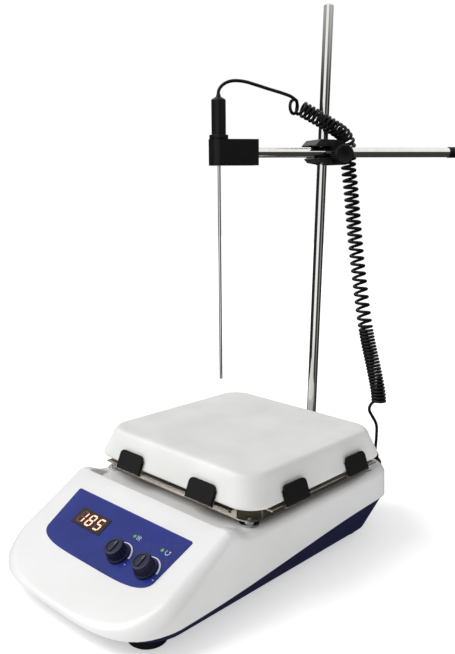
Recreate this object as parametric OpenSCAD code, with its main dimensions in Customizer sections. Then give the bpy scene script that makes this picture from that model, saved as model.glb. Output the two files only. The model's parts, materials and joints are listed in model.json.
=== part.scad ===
// Hot-plate magnetic stirrer with a support rod, a clamped cross rod and a temperature probe.
// Millimetres. +Z is up, +Y points to the rear of the housing and +X to the user's right.
// The origin is on the table, under the centre of the box around the rigid pieces.

/* [Housing] */
// Width of the housing
body_w = 206; // [196:1:216]
// Depth of the housing
body_d = 360; // [350:1:370]
// Wall thickness of both housing shells
wall = 3; // [2.5:0.5:4]
// Height of the shelf that carries the hot plate
shelf_z = 68; // [66:1:70]
// Height of the ridge at the top of the control panel
ridge_z = 76; // [74:1:78]
// Slope of the control panel in degrees
panel_slope = 29.4; // [28:0.2:31]
// Height of the joint between the shells at the front
seam_front = 15; // [14:1:17]
// Height of the joint between the shells at the rear
seam_rear = 38; // [34:1:40]

/* [Hot plate] */
// Width of the plate across its skirt
plate_w = 207; // [200:1:210]
// Width of the flat working surface
plate_flat = 184; // [176:1:188]
// Height of the working surface above the table
plate_top = 112; // [110:1:116]
// Height of the plate from its working surface to the edge of its skirt
plate_h = 27; // [24:1:28]
// Distance of the plate's centre behind the housing's centre
plate_y = 47; // [44:1:50]

/* [Support rod and arm] */
// Diameter of the support rod and of the cross rod
rod_d = 10; // [8:0.5:12]
// Height of the support rod's top above the table
rod_top = 525; // [480:5:560]
// Height of the cross rod at the support rod
arm_z = 380.5; // [330:0.5:400]
// Direction of the cross rod in plan, from +X, in degrees
arm_azimuth = 57; // [45:1:65]
// Upward tilt of the cross rod towards its free end, in degrees
arm_tilt = 1.6; // [0:0.2:3]
// Length of the cross rod behind the support rod
arm_back = 140; // [120:5:160]

/* [Probe] */
// Diameter of the probe's steel sheath
sheath_d = 3; // [2:0.5:4]
// Height of the probe's tip above the table
tip_z = 150; // [140:5:200]
// Diameter of the probe's handle
handle_d = 14; // [12:1:16]
// Diameter of the curly lead over its turns
coil_d = 16; // [14:0.5:18]
// Diameter of the lead's own cable
cable_d = 3.2; // [2.4:0.1:4]

/* [Hidden] */

$fn = 48;
half_w = body_w / 2;
half_d = body_d / 2;
rod_r = rod_d / 2;
fit = 0.05;
gap = 0.3;

// Support rod and arm: the boss head's frame has X along the cross rod
rod_x = 1;
rod_y = 161;
arm_offset = 17;
arm_front = -101;
screw_x = 7;
screw_z = -2.5;
probe_s = -114;

// The rear end of the cross rod is the rearmost rigid point, so it sets the origin
arm_end_y = rod_y - arm_offset * cos(arm_azimuth)
    + (arm_back + 4) * sin(arm_azimuth) * cos(arm_tilt) + (rod_r + 0.6) * cos(arm_azimuth);
shift_y = (arm_end_y - half_d) / 2;

// Control panel: its plane passes through the ridge
ridge_y = -76;
panel_centre_y = -118;
label_t = 0.5;
label_w = 150;
label_low_w = 142;
label_top = 27.7;
label_turn = -14;
label_bow = 15.7;
knob_x = [21.3, 55.3];
knob_y = -10;
led_y = 10;
display_x = -31.8;
display_y = 4.2;
display_w = 39.6;
display_h = 17;

// Housing surface
nose_len = 46;
tail_len = 34;
nose_power = 0.30;
tail_power = 0.25;
wall_rise = 20;
edge_r = 8;
nose_edge_r = 5;
base_z = 9.3;
pocket_half_w = 86;
rim_run = 26;
shelf_hole_r = 50;
bracket_z = 58.3;

// Flat pad on the rear wall and the pieces in it
rear_face = half_d - 0.1;
rear_z = 51;
inlet_x = -32;
switch_x = 34;
socket_x = 64;

// Plate and tray
skirt_z = plate_top - plate_h;
plate_r = 24;
post_x = 87.5;
tray_z = 72;
tray_half = 95.5;
pad_at = 46.5;
pad_w = 31;
pad_bottom = 81;
pad_top = 99;
skirt_slope = atan2((plate_w - plate_flat) / 2 - 3, plate_h - 5.5);
tab_t = 0.8;
tab_y = plate_w / 2 + 0.4 + tan(skirt_slope) * (skirt_z + 1.5 - pad_bottom) + tab_t / cos(skirt_slope);
shelf_screw_d = 4.4;

// ---------- frames ----------

module body_frame() translate([0, -shift_y, 0]) children();

module boss_frame() body_frame() translate([rod_x, rod_y, arm_z]) rotate([0, 0, arm_azimuth]) children();

module arm_frame() boss_frame() translate([0, -arm_offset, 0]) rotate([0, -arm_tilt, 0]) children();

// Z is the panel's outward normal, Y points up the slope
module panel_frame()
    body_frame()
        translate([0, panel_centre_y, panel_z(panel_centre_y)])
            rotate([panel_slope, 0, 0])
                children();

// ---------- shared shapes ----------

function smooth(t) = let (c = min(max(t, 0), 1)) c * c * (3 - 2 * c);

module rounded_rect(w, d, r) {
    union() {
        square([w - 2 * r, d], center = true);
        square([w, d - 2 * r], center = true);
        for (x = [-1, 1], y = [-1, 1])
            translate([x * (w / 2 - r), y * (d / 2 - r)]) circle(r = r);
    }
}

module rounded_box(w, d, h, r) linear_extrude(h) rounded_rect(w, d, r);

module tube(r_out, r_in, h) {
    difference() {
        cylinder(r = r_out, h = h);
        translate([0, 0, -1]) cylinder(r = r_in, h = h + 2);
    }
}

module at_corners(x, y) {
    for (sx = [-1, 1], sy = [-1, 1]) translate([sx * x, sy * y, 0]) children();
}

// Closed skin over rings of equal length, with flat ends
module ring_skin(rings) {
    n = len(rings[0]);
    m = len(rings);
    points = [for (r = rings) each r];
    sides = [for (j = [0 : m - 2], i = [0 : n - 1])
        let (a = j * n + i, b = j * n + (i + 1) % n)
        each [[a, a + n, b + n], [a, b + n, b]]];
    ends = [
        [for (i = [0 : n - 1]) i],
        [for (i = [n - 1 : -1 : 0]) (m - 1) * n + i]
    ];
    polyhedron(points = points, faces = concat(sides, ends), convexity = 6);
}

// ---------- swept tubes for the probe's lead ----------

function unit(v) = v / norm(v);
function path_tangent(p, i) = unit(p[min(i + 1, len(p) - 1)] - p[max(i - 1, 0)]);
function carried(u, t) = unit(u - (u * t) * t);
function path_sides(p, i = 0, u = [0.2, 1, 0.1]) =
    i >= len(p) ? [] : let (v = carried(u, path_tangent(p, i))) concat([v], path_sides(p, i + 1, v));
// Points along a smooth curve through the route, with steps points for each stretch
function spline(p, steps) = [
    for (i = [0 : len(p) - 2], k = [0 : steps - 1])
        let (t = k / steps, a = p[max(i - 1, 0)], b = p[i], c = p[i + 1], d = p[min(i + 2, len(p) - 1)])
        0.5 * (2 * b + (c - a) * t + (2 * a - 5 * b + 4 * c - d) * t * t
            + (3 * b - a - 3 * c + d) * t * t * t),
    p[len(p) - 1]
];

module swept_tube(route, r, sides, steps) {
    p = spline(route, steps);
    u = path_sides(p);
    rings = [for (i = [0 : len(p) - 1])
        let (t = path_tangent(p, i), v = cross(t, u[i]))
        [for (k = [0 : sides - 1]) p[i] + r * (cos(360 * k / sides) * u[i] - sin(360 * k / sides) * v)]];
    ring_skin(rings);
}

// Routes of the lead, in the arm's upright frame: along the cross rod, across it, and up from it
arc_route = [
    [-115.5, 0, 51.45], [-115.3, 0, 54.5], [-113, 0, 58.5], [-108, 0, 62.3], [-101, 0, 64.4], [-90, 0, 64.2],
    [-78, 0, 61.6], [-62, 0, 57.6], [-41.7, 0, 52]
];
upper_route = [
    [-43.5, 0, 44.5], [-31.6, 0, 41.4], [-22, 0, 37.4], [-12, 0, 32.8], [-2.5, 0, 28], [6.6, 0.8, 23.6],
    [12.8, 2.8, 20.7], [17.6, 5.4, 17.9], [22.5, 8.2, 13.3], [26.2, 12, 7.2], [27.6, 13.9, 2.2], [27.9, 14, 0.5]
];
// Routes of the hanging part, in the housing's frame
middle_route = [
    [18.7, 182.8, 380.7], [18.7, 182.8, 377.5], [19.3, 183.1, 365], [21.9, 184, 349], [25.4, 184.8, 324],
    [31, 186.5, 284], [38.6, 188, 240]
];
lower_route = [
    [38.7, 188, 239.5], [45, 189, 207], [51.1, 190, 182], [58.6, 190.8, 157], [65.2, 191.6, 132], [67, 192, 118.5]
];
tail_route = [
    [60.4, 191.5, 115.9], [62.8, 191.8, 107], [65, 192, 96], [66, 192.2, 85], [65.8, 192.3, 74], [65.5, 192.3, 66]
];

module lead_frame() body_frame() translate([rod_x, rod_y, arm_z]) rotate([0, 0, arm_azimuth])
    translate([0, -arm_offset, 0]) children();

// ---------- housing surface ----------

function panel_z(y) = ridge_z + (y - ridge_y) * tan(panel_slope);
function seam_z(y) = seam_front + 5 * smooth((y + half_d) / 40)
    + (seam_rear - seam_front - 5) * smooth((y + 140) / 300);
function outline_x(y) =
    y < nose_len - half_d ? half_w * pow(max(1 - pow(1 - (y + half_d) / nose_len, 2), 0), nose_power)
    : y > half_d - tail_len ? half_w * pow(max(1 - pow(1 - (half_d - y) / tail_len, 2), 0), tail_power)
    : half_w;
function front_y(x) =
    -half_d + nose_len * (1 - sqrt(max(1 - pow(min(abs(x) / half_w, 1), 1 / nose_power), 0)));
function rear_y(x) =
    half_d - tail_len * (1 - sqrt(max(1 - pow(min(abs(x) / half_w, 1), 1 / tail_power), 0)));
function rim_z(y) = shelf_z + (ridge_z - shelf_z) * (1 - smooth((y - ridge_y) / rim_run));
function top_z(x, y) =
    y < ridge_y ? panel_z(y)
    : let (inside = min(pocket_half_w - abs(x), y - ridge_y - 1))
        rim_z(y) - (rim_z(y) - shelf_z) * smooth(inside / 3);
// Height lost at a distance inwards from a rounded edge of radius r
function edge_drop(d, r) = d >= r ? 0 : r * (1 - sqrt(1 - pow(1 - max(d, 0) / r, 2)));
function shell_z(x, y) =
    let (
        d = max(min(half_w - abs(x), y - front_y(x), rear_y(x) - y), 0),
        height = max(top_z(x, y) - seam_z(y), 0.5),
        r = min(edge_r + nose_edge_r * smooth((ridge_y - y) / 50), 0.85 * height)
    )
    seam_z(y) + min(wall_rise * d, height - edge_drop(d - (height - r) / wall_rise, r));

nose_steps = [for (a = [4, 12, 20, 29, 38, 48, 58, 69, 80]) nose_len * (1 - cos(a)) - half_d];
tail_steps = [for (a = [80, 66, 52, 39, 30, 22, 15, 9, 4]) half_d - tail_len * (1 - cos(a))];
stations = concat(
    nose_steps,
    [-132, -112, -92, -78, ridge_y, ridge_y + 1, ridge_y + 2.5, ridge_y + 4],
    [-64, -56, -51, -40],
    [for (y = [-20 : 20 : 140]) y],
    tail_steps
);
edge_steps = [0, 0.6, 1.2, 1.8, 2.6, 3.8, 5.6, 8, 11, 14, 17, 20, 31, 51, 77];
columns = [
    for (d = edge_steps) d / half_w - 1,
    0,
    for (k = [len(edge_steps) - 1 : -1 : 0]) 1 - edge_steps[k] / half_w
];

function on_edge(j, i) = j == 0 || j == len(stations) - 1 || i == 0 || i == len(columns) - 1;
function outer_point(j, i) =
    let (y = stations[j], x = outline_x(y) * columns[i])
    [x, y, on_edge(j, i) ? seam_z(y) : shell_z(x, y)];
function inner_point(j, i) =
    let (p = outer_point(j, i), kx = 1 - wall / half_w, ky = 1 - wall / half_d)
    [p[0] * kx, p[1] * ky, on_edge(j, i) ? p[2] : p[2] - wall * smooth((p[2] - seam_z(p[1])) / 6)];

// Shell between the outer surface and the inner one, open below
module housing_shell() {
    nj = len(stations);
    ni = len(columns);
    outer = [for (j = [0 : nj - 1], i = [0 : ni - 1]) outer_point(j, i)];
    inner = [for (j = [0 : nj - 1], i = [0 : ni - 1]) inner_point(j, i)];
    count = nj * ni;
    cells = [for (j = [0 : nj - 2], i = [0 : ni - 2]) j * ni + i];
    top = [for (a = cells) each [[a, a + ni, a + ni + 1], [a, a + ni + 1, a + 1]]];
    under = [for (a = cells) each
        [[a + count, a + ni + 1 + count, a + ni + count], [a + count, a + 1 + count, a + ni + 1 + count]]];
    edge = concat(
        [for (i = [0 : ni - 2]) i],
        [for (j = [0 : nj - 2]) j * ni + ni - 1],
        [for (i = [ni - 1 : -1 : 1]) (nj - 1) * ni + i],
        [for (j = [nj - 1 : -1 : 1]) j * ni]
    );
    n = len(edge);
    rim = [for (k = [0 : n - 1]) let (a = edge[k], b = edge[(k + 1) % n])
        each [[a, b, b + count], [a, b + count, a + count]]];
    polyhedron(points = concat(outer, inner), faces = concat(top, under, rim), convexity = 8);
}

// Outline of the lower shell at the joint, scaled in by kx and ky and lowered to z
function loop_ring(inset, rear_inset, z) = [
    for (s = [1, -1], j = [0 : len(stations) - 1])
        let (
            y = stations[s > 0 ? j : len(stations) - 1 - j],
            ky = 1 - (y > 0 ? rear_inset : inset) / half_d
        )
        [s * outline_x(y) * (1 - inset / half_w), y * ky, is_undef(z) ? seam_z(y) - gap : z]
];
function loop_between(a, b, t) = [for (i = [0 : len(a) - 1]) a[i] * (1 - t) + b[i] * t];

// ---------- housing ----------

module upper_housing() color("#f1efea") body_frame() {
    difference() {
        union() {
            housing_shell();
            translate([-64, rear_face - 6, rear_z - 12]) cube([140, 6, 23]);
            translate([0, plate_y, bracket_z + 2.1]) at_corners(66, 26) cylinder(d = 9, h = shelf_z - bracket_z - 3);
            translate([0, plate_y, shelf_z - 8.2]) at_corners(post_x, post_x) cylinder(d = 9, h = 7.2);
        }
        translate([0, plate_y, shelf_z - 8]) cylinder(r = shelf_hole_r, h = 20);
        translate([0, plate_y, shelf_z - 9]) at_corners(post_x, post_x) cylinder(d = shelf_screw_d, h = 20);
        translate([0, plate_y, bracket_z]) at_corners(66, 26) cylinder(r = 2 + fit, h = 7);
        translate([rod_x, rod_y, shelf_z - 8]) cylinder(d = 20.2, h = 20);
        translate([socket_x, half_d - 10, rear_z]) rotate([-90, 0, 0]) cylinder(d = 12.4, h = 20);
        translate([inlet_x, half_d - 5, rear_z]) cube([28.4, 20, 20.4], center = true);
        translate([switch_x, half_d - 5, rear_z]) cube([19.6, 20, 13.6], center = true);
        translate([0, panel_centre_y, panel_z(panel_centre_y)]) rotate([panel_slope, 0, 0]) panel_cuts(1.6);
    }
}

// Openings through the panel for the display, the knobs' shafts and the lenses
module panel_cuts(window_gap) {
    translate([display_x, display_y, 0])
        cube([display_w + window_gap, display_h + window_gap, 20], center = true);
    for (x = knob_x) {
        translate([x, knob_y, -10]) cylinder(d = 8.2, h = 20);
        translate([x, led_y, -10]) cylinder(d = 3.4, h = 20);
    }
}

module lower_housing() color("#232748") body_frame() {
    rim_ring = loop_ring(1.5, 1.5);
    floor_ring = loop_ring(7, 30, base_z);
    inner_rim = loop_ring(4.5, 4.5);
    inner_floor = loop_ring(10, 33, base_z + wall);
    difference() {
        ring_skin([floor_ring, loop_between(floor_ring, rim_ring, 0.45), rim_ring,
            inner_rim, loop_between(inner_floor, inner_rim, 0.45), inner_floor]);
        at_feet() cylinder(d = 5.2, h = 30);
        for (x = [-60 : 12 : 60]) translate([x, 40, base_z]) cube([5, 46, 20], center = true);
    }
}

module at_feet() for (x = [-71, 71], y = [-139, 122]) translate([x, y, 0]) children();

module feet() color("#17171a") body_frame() at_feet() {
    rotate_extrude() polygon([[3.2, 3], [3.2, 0], [14, 0], [16, 1.5], [17, base_z - gap], [2.6, base_z - gap],
        [2.6, 3]]);
}

module housing_screws() color("silver") body_frame() at_feet() {
    translate([0, 0, 4]) cylinder(d = 5, h = 16);
    translate([0, 0, 1]) cylinder(d = 6, h = 1.9);
    translate([0, 0, 2]) cylinder(d = 3, h = 4);
}

// ---------- controls ----------

// Half of the label's edge from its top corner to its lowest point
label_edge = concat(
    [[label_w / 2 - 2, label_top], [label_w / 2 - 0.5, label_top - 0.7], [label_w / 2, label_top - 2.2]],
    [for (a = [0 : 6 : 90]) [label_low_w / 2 * pow(cos(a), 0.45), label_turn - label_bow * pow(sin(a), 0.85)]]
);

module label_outline() polygon(concat(
    label_edge,
    [for (i = [len(label_edge) - 2 : -1 : 0]) [-label_edge[i][0], label_edge[i][1]]]
));

module control_label() color("#3f4f94") panel_frame() {
    difference() {
        translate([0, 0, 0.05]) linear_extrude(label_t) label_outline();
        panel_cuts(0.4);
    }
}

module display_window() color("#2a0606") panel_frame() translate([display_x, display_y, -1.4])
    rounded_box(display_w, display_h, 2.4, 0.8);

module display_module() color("#101010") panel_frame() translate([display_x, display_y, -9]) {
    union() {
        rounded_box(display_w - 2, display_h - 1, 7, 0.5);
        translate([-display_w / 2, -display_h / 2, -1.6]) cube([display_w, display_h, 1.6]);
    }
}

module indicator_lenses() color("#49d05a") panel_frame() for (x = knob_x) translate([x, led_y, -6]) {
    cylinder(d = 3, h = 6.6);
    translate([0, 0, -1.2]) cylinder(d = 3.9, h = 3);
}

module control_board() color("#1f6b3a") panel_frame() translate([0, 2, -13.4]) {
    difference() {
        rounded_box(140, 44, 1.6, 2);
        for (x = knob_x) translate([x, knob_y - 2, -1]) cylinder(d = 7.4, h = 4);
    }
}

module potentiometers() color("#6f7479") panel_frame() for (x = knob_x) translate([x, knob_y, 0]) {
    difference() {
        union() {
            translate([0, 0, -11.6]) cylinder(d = 15, h = 6.4);
            translate([0, 0, -6]) cylinder(d = 7, h = 6);
        }
        translate([0, 0, -10]) cylinder(r = 3 + fit, h = 12);
    }
}

module knob() {
    difference() {
        union() {
            rotate_extrude() polygon([[0, 1], [10, 1], [10, 2.2], [9.1, 3], [8.5, 10.9], [8, 11.7], [7.2, 12],
                [6.4, 12], [6, 11.6], [0, 11.6]]);
            translate([0, 0, -9.6]) cylinder(r = 3, h = 12);
        }
        translate([0, 7.4, 12]) cube([1, 3, 1.6], center = true);
    }
}

module heat_knob() color("#20233f") panel_frame() translate([knob_x[0], knob_y, 0]) knob();

module stir_knob() color("#20233f") panel_frame() translate([knob_x[1], knob_y, 0]) knob();

module power_board() color("#1f6b3a") body_frame() translate([0, 118, base_z + wall + 4]) {
    union() {
        translate([-65, -28, 0]) cube([130, 56, 1.6]);
        translate([-50, -18, 0]) cube([34, 30, 18]);
        translate([-4, -10, 0]) cube([20, 22, 12]);
        translate([30, 0, 0]) cylinder(d = 16, h = 20);
    }
}

// ---------- stirring drive ----------

module motor() color("#9aa0a6") body_frame() translate([0, plate_y, 22]) tube(28, 4, 36);

module motor_bracket() color("#b9bdc2") body_frame() translate([0, plate_y, bracket_z]) {
    difference() {
        rounded_box(150, 70, 2, 6);
        translate([0, 0, -1]) cylinder(r = 8, h = 4);
        at_corners(66, 26) translate([0, 0, -1]) cylinder(d = 4.2, h = 4);
    }
}

module bracket_screws() color("silver") body_frame() translate([0, plate_y, 0]) at_corners(66, 26) {
    translate([0, 0, 54]) cylinder(d = 7, h = 4);
    translate([0, 0, 57]) cylinder(d = 4, h = 7.4);
}

module motor_shaft() color("#c9ccd0") body_frame() translate([0, plate_y, 24]) {
    union() {
        cylinder(r = 4 - fit, h = 38);
        translate([0, 0, 37]) cylinder(r = 3, h = 14);
    }
}

module magnet_carrier() color("#8d9197") body_frame() translate([0, plate_y, 66]) {
    difference() {
        rounded_box(66, 24, 10, 11);
        translate([0, 0, -1]) cylinder(r = 3, h = 12);
        for (x = [-22, 22]) translate([x, 0, 3]) cylinder(d = 18.1, h = 10);
    }
}

module drive_magnets() color("#50545a") body_frame() translate([0, plate_y, 69]) for (x = [-22, 22])
    translate([x, 0, 0]) cylinder(d = 18, h = 9);

module carrier_screw() color("silver") body_frame() translate([0, plate_y, 76]) cylinder(d = 9, h = 3);

// ---------- hot plate ----------

function plate_ring(half, r, z) = [
    for (q = [0 : 3], k = [0 : 6])
        let (a = q * 90 + k * 15, cx = (q == 0 || q == 3) ? 1 : -1, cy = q < 2 ? 1 : -1)
        [cx * (half - r) + r * cos(a), cy * (half - r) + r * sin(a), z]
];

module hot_plate() color("#f4f4f2") body_frame() translate([0, plate_y, 0]) {
    h = plate_w / 2;
    f = plate_flat / 2;
    inner = h - 3;
    ring_skin([
        plate_ring(f - 1, plate_r - 4, plate_top - 5),
        plate_ring(inner, plate_r - 3, skirt_z),
        plate_ring(h, plate_r, skirt_z),
        plate_ring(h, plate_r, skirt_z + 1.5),
        plate_ring(f + 3, plate_r - 1, plate_top - 4),
        plate_ring(f + 1.6, plate_r - 2, plate_top - 1.4),
        plate_ring(f, plate_r - 3, plate_top)
    ]);
}

module standoffs() color("#c9ccd0") body_frame() translate([0, plate_y, 0]) at_corners(post_x, post_x) {
    translate([0, 0, shelf_z + 1.6]) cylinder(d = 9, h = tray_z - shelf_z - 1.6);
    translate([0, 0, shelf_z - 12]) cylinder(d = 4, h = tray_z - shelf_z + 14);
}

module standoff_washers() color("#d8d8d6") body_frame() translate([0, plate_y, shelf_z + 0.1])
    at_corners(post_x, post_x) tube(8.5, 2.1, 1.4);

module tray_nuts() color("silver") body_frame() translate([0, plate_y, shelf_z - 11.6])
    at_corners(post_x, post_x) tube(3.6, 2.05, 3.2);

// Steel tray under the plate: a sheet with a turned-up edge and two tabs on each side
module plate_tray() color("#a39a90") body_frame() translate([0, plate_y, tray_z]) {
    side_h = 11;
    difference() {
        union() {
            difference() {
                rounded_box(2 * tray_half, 2 * tray_half, 1.2, 14);
                translate([0, 0, -1]) cylinder(r = 52, h = 4);
            }
            for (a = [0 : 90 : 270]) rotate([0, 0, a]) {
                translate([-80, -tray_half, 0]) cube([160, 1.2, side_h]);
                translate([-80, 0.9 - tab_y, side_h - 1.2]) cube([160, tab_y + 0.3 - tray_half, 1.2]);
                for (x = [-pad_at, pad_at]) translate([x, 0, 0]) tab();
            }
        }
        for (a = [0 : 90 : 270], x = [-60, -20, 20, 60]) rotate([0, 0, a])
            translate([x, -tray_half, 5.6]) cube([28, 8, 4.4], center = true);
        at_corners(post_x, post_x) translate([0, 0, -1]) cylinder(d = shelf_screw_d, h = 4);
    }
}

// Tab that leans along the skirt behind a pad, with a lip below the pad
module tab() {
    tab_w = pad_w + 2.4;
    translate([-tab_w / 2, -tab_y, pad_bottom - tray_z]) rotate([-skirt_slope, 0, 0]) {
        cube([tab_w, tab_t, pad_top - pad_bottom - 4]);
        translate([0, -2.2, -tab_t]) cube([tab_w, 2.2 + tab_t, tab_t + 0.05]);
    }
}

module edge_pads() color("#1b1b1c") body_frame() translate([0, plate_y, 0])
    for (a = [0 : 90 : 270], x = [-pad_at, pad_at]) rotate([0, 0, a])
        translate([x, -tab_y - 0.12, pad_bottom + 0.12]) rotate([90 - skirt_slope, 0, 0])
            linear_extrude(2.2) pad_outline();

module pad_outline() {
    h = pad_top - pad_bottom;
    union() {
        translate([-pad_w / 2, 0]) square([pad_w, h - 5]);
        translate([5 - pad_w / 2, 0]) square([pad_w - 10, h]);
        for (x = [5 - pad_w / 2, pad_w / 2 - 5]) translate([x, h - 5]) circle(r = 5);
    }
}

module insulation_pad() color("#d9d2c0") body_frame() translate([0, plate_y, 0]) {
    union() {
        translate([0, 0, tray_z + 1.3]) tube(80, 54, 13.7);
        translate([0, 0, tray_z + 14]) tube(80, 12, 12);
    }
}

module heating_element() color("#5c5f63") body_frame() translate([0, plate_y, 98.2]) {
    for (r = [30 : 14 : 72]) tube(r, r - 6, 8.4);
}

module plate_sensor() color("#c9ccd0") body_frame() translate([0, plate_y, 99]) cylinder(d = 6, h = 7.6);

// ---------- rod socket and support rod ----------

module rod_socket() color("#8d9197") body_frame() translate([rod_x, rod_y, 0]) {
    difference() {
        union() {
            translate([0, 0, 40]) cylinder(d = 20, h = shelf_z - 40 + 1);
            translate([0, 0, shelf_z + 0.2]) cylinder(d = 26, h = 3.8);
        }
        translate([0, 0, 44]) cylinder(r = rod_r + fit, h = 40);
    }
}

module support_rod() color("#c4c7c9") body_frame() translate([rod_x, rod_y, 0]) {
    union() {
        translate([0, 0, 44.5]) cylinder(r = rod_r, h = rod_top - 46);
        translate([0, 0, rod_top - 1.6]) cylinder(r1 = rod_r, r2 = rod_r - 1.4, h = 1.6);
    }
}

// ---------- boss head and arm ----------

// Upright profile of the boss head, run through its depth from the back
module boss_profile(depth) {
    rotate([90, 0, 0]) translate([0, 0, -12]) linear_extrude(depth) children();
}

// Block with two jaws: the upright bore takes the support rod, the level one the cross rod
module boss_head() color("#35373a") {
    difference() {
        boss_frame() {
            difference() {
                union() {
                    boss_profile(40.6)
                        polygon([[-2, -12.2], [11.5, -12.2], [14, -9.7], [14, 8.2], [10, 12.2], [-2, 12.2]]);
                    boss_profile(42) {
                        polygon([[1.2, 5.6], [-18, 5.6], [-19, 6.6], [-13.6, 12.2], [1.2, 12.2]]);
                        polygon([[1.2, -5.6], [-14.5, -5.6], [-15.6, -6.8], [-12, -10.4], [1.2, -12.2]]);
                        translate([-2, -6]) square([3.2, 12]);
                    }
                }
                translate([0, 0, -20]) cylinder(r = rod_r + fit, h = 40);
                translate([0, 4, 0]) rotate([-90, 0, 0]) cylinder(r = 3 + fit, h = 10);
                translate([screw_x, -arm_offset, screw_z]) rotate([90, 0, 0]) cylinder(r = 3 + fit, h = 16);
            }
        }
        arm_frame() translate([-30, 0, 0]) rotate([0, 90, 0]) cylinder(r = rod_r + fit, h = 60);
    }
}

// Ribbed thumb knob on a threaded shank; the shank's tip is at z = 0
module clamp_screw(shank) {
    union() {
        cylinder(r = 3, h = shank + 1);
        translate([0, 0, shank]) cylinder(r = 10, h = 11);
        translate([0, 0, shank + 11]) cylinder(r1 = 10, r2 = 9, h = 1);
    }
}

module arm_clamp_screw() color("#141416") boss_frame() translate([screw_x, -arm_offset - rod_r - 0.4, screw_z])
    rotate([90, 0, 0]) clamp_screw(9);

module rod_clamp_screw() color("#141416") boss_frame() translate([0, rod_r + 0.4, 0])
    rotate([-90, 0, 0]) clamp_screw(7.6);

module cross_rod() color("#c4c7c9") arm_frame() translate([arm_front, 0, 0]) rotate([0, 90, 0])
    cylinder(r = rod_r, h = arm_back - arm_front);

module cross_rod_cap() color("#2c2d30") arm_frame() translate([arm_back + 0.05, 0, 0]) rotate([0, 90, 0]) {
    difference() {
        translate([0, 0, -6]) cylinder(r = rod_r + 0.6, h = 10);
        translate([0, 0, -7]) cylinder(r = rod_r, h = 7);
    }
}

// ---------- probe ----------

module probe_holder() color("#161618") arm_frame() {
    difference() {
        union() {
            translate([probe_s, 0, -12.5]) cylinder(r = 10, h = 25);
            translate([probe_s, -10, -12.5]) cube([37.6, 20, 25]);
        }
        translate([probe_s, 0, -14]) cylinder(r = sheath_d / 2 + fit, h = 28);
        translate([arm_front, 0, 0]) rotate([0, 90, 0]) cylinder(r = rod_r, h = 30);
        translate([-88, 4, 0]) rotate([-90, 0, 0]) cylinder(r = 2, h = 8);
    }
}

module holder_set_screw() color("#3a3c40") arm_frame() translate([-88, rod_r + 0.05, 0]) rotate([-90, 0, 0]) {
    difference() {
        cylinder(r = 2, h = 4.4);
        translate([0, 0, 2.6]) cylinder(r = 1.1, h = 3, $fn = 6);
    }
}

module probe_sheath() color("#c9ccd0") arm_frame() translate([probe_s, 0, tip_z - arm_z + 1.6]) {
    union() {
        translate([0, 0, sheath_d / 2]) cylinder(r = sheath_d / 2, h = arm_z + 22 - tip_z);
        translate([0, 0, sheath_d / 2]) sphere(r = sheath_d / 2);
    }
}

module probe_collar() color("#1a1a1c") arm_frame() translate([probe_s, 0, 12.7]) tube(9.2, sheath_d / 2, 4);

module probe_handle() color("#161618") arm_frame() translate([probe_s, 0, 16.7]) {
    difference() {
        rotate_extrude() polygon([[0, 0], [handle_d / 2, 0], [handle_d / 2, 32.4],
            [handle_d / 2 - 0.8, 33.4], [2.6, 35.5], [0, 35.5]]);
        translate([0, 0, -1]) cylinder(r = sheath_d / 2, h = 12);
    }
}

module probe_strain_relief() color("#161618") arm_frame() translate([probe_s, 0, 52.2])
    rotate_extrude() polygon([[0, 0], [2.5, 0], [1.9, 2.4], [0, 2.4]]);

module lead_arc() color("#141414") lead_frame() swept_tube(arc_route, cable_d / 2, 8, 2);

module lead_coil_upper() color("#141414") lead_frame() swept_tube(upper_route, coil_d / 2, 10, 1);

module lead_coil_middle() color("#141414") body_frame() swept_tube(middle_route, coil_d / 2, 10, 1);

module lead_coil_lower() color("#141414") body_frame() swept_tube(lower_route, coil_d / 2, 10, 1);

module lead_tail() color("#141414") body_frame() swept_tube(tail_route, cable_d / 2, 8, 2);

// ---------- rear panel ----------

module rear_frame(x) body_frame() translate([x, rear_face, rear_z]) children();

// Right-angled plug: its barrel goes into the socket and its cable leaves upwards
module sensor_plug() color("#141416") rear_frame(socket_x) {
    difference() {
        union() {
            translate([0, 2.5, 0]) rotate([-90, 0, 0]) cylinder(d = 13, h = 16);
            translate([1.5, 12.4, 0]) cylinder(d = 8, h = 11);
            translate([1.5, 12.4, 11]) cylinder(r1 = 4, r2 = 2.2, h = 4);
        }
        rotate([-90, 0, 0]) cylinder(r = 4, h = 10);
    }
}

module sensor_socket() color("#8d9197") rear_frame(socket_x) rotate([-90, 0, 0]) {
    difference() {
        union() {
            translate([0, 0, -9]) cylinder(d = 12, h = 9.2);
            translate([0, 0, 0.2]) cylinder(d = 16, h = 2);
            translate([0, 0, 1]) cylinder(r = 3.9, h = 8);
        }
        translate([0, 0, 3]) cylinder(r = 3, h = 7);
    }
}

module power_inlet() color("#141416") rear_frame(inlet_x) {
    difference() {
        union() {
            translate([0, -7, 0]) cube([28, 16, 20], center = true);
            translate([0, 1.4, 0]) cube([48, 2.4, 22.6], center = true);
        }
        translate([0, -3, 0]) cube([24, 17, 16], center = true);
    }
    for (x = [-7, 0, 7]) translate([x, -8, x == 0 ? 3 : -2]) cube([1.5, 10, 4], center = true);
}

module power_switch() color("#141416") rear_frame(switch_x) {
    difference() {
        union() {
            translate([0, -6, 0]) cube([19.2, 13, 13.2], center = true);
            translate([0, 1.1, 0]) cube([21, 1.8, 15], center = true);
        }
        translate([0, -2, 0]) cube([17, 16, 10.8], center = true);
        translate([0, -3, -6.3]) cylinder(r = 1.25, h = 12.6);
    }
}

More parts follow.
